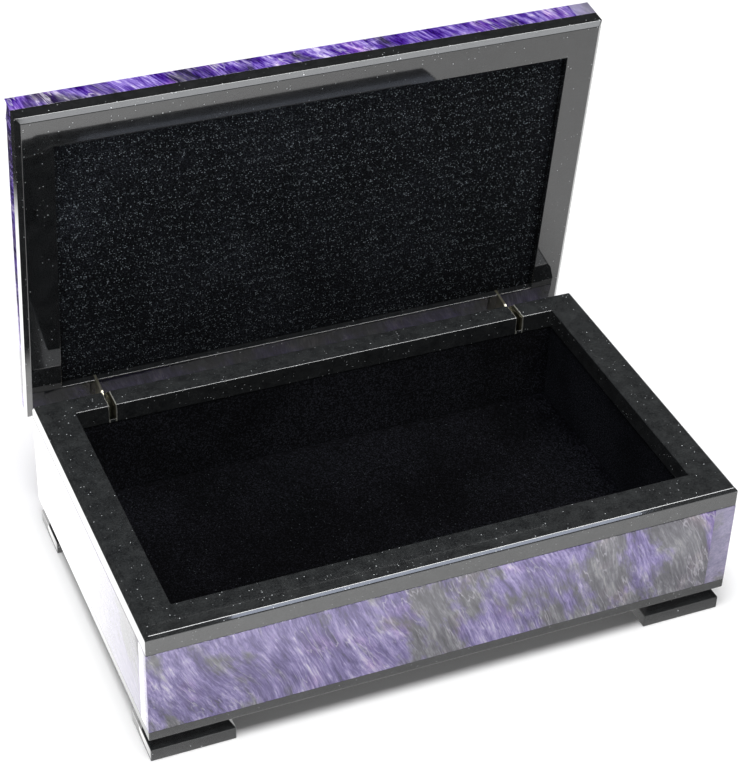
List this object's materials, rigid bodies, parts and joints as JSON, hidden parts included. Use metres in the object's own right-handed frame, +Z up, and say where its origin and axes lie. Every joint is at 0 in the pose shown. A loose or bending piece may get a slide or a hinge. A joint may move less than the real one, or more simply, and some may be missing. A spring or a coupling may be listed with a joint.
{
  "type": "hinged keepsake box",
  "caption": "Hinged keepsake box of polished black stone with bands of violet stone, a velvet lining, slab feet and a lid that stands open on concealed slot hinges.",
  "frame": {"origin": "on the surface the box stands on, midway between the four feet", "axes": "+X to the right and +Y to the rear as seen from the front, +Z up; the lid is drawn open"},
  "size_m": [0.18, 0.1284, 0.1468],
  "materials": {
    "black_stone": "polished",
    "violet_stone": "polished",
    "velvet": "cut pile",
    "brass": "satin"
  },
  "bodies": {
    "case": {"base_plate": "black_stone", "front_left_foot": "black_stone", "front_right_foot": "black_stone", "rear_left_foot": "black_stone", "rear_right_foot": "black_stone", "front_wall": "black_stone", "rear_wall": "black_stone", "left_wall": "black_stone", "right_wall": "black_stone", "front_band": "violet_stone", "rear_band": "violet_stone", "left_band": "violet_stone", "right_band": "violet_stone", "front_rim": "black_stone", "rear_rim": "black_stone", "left_rim": "black_stone", "right_rim": "black_stone", "floor_lining": "velvet", "front_lining": "velvet", "rear_lining": "velvet", "left_lining": "velvet", "right_lining": "velvet", "left_case_leaf": "brass", "right_case_leaf": "brass", "left_hinge_pin": "brass", "right_hinge_pin": "brass"},
    "lid": {"lid_front_rail": "black_stone", "lid_rear_rail": "black_stone", "lid_left_rail": "black_stone", "lid_right_rail": "black_stone", "lid_core": "black_stone", "lid_lining": "velvet", "lid_top": "violet_stone", "lid_front_band": "violet_stone", "lid_rear_band": "violet_stone", "lid_left_band": "violet_stone", "lid_right_band": "violet_stone", "left_lid_leaf": "brass", "right_lid_leaf": "brass"}
  },
  "joints": [
    {"name": "lid_hinge", "type": "hinge", "parent": "case", "child": "lid", "pos_m": [0, 0.0518, 0.038], "axis": [1, 0, 0], "range_deg": [0, 84]}
  ]
}
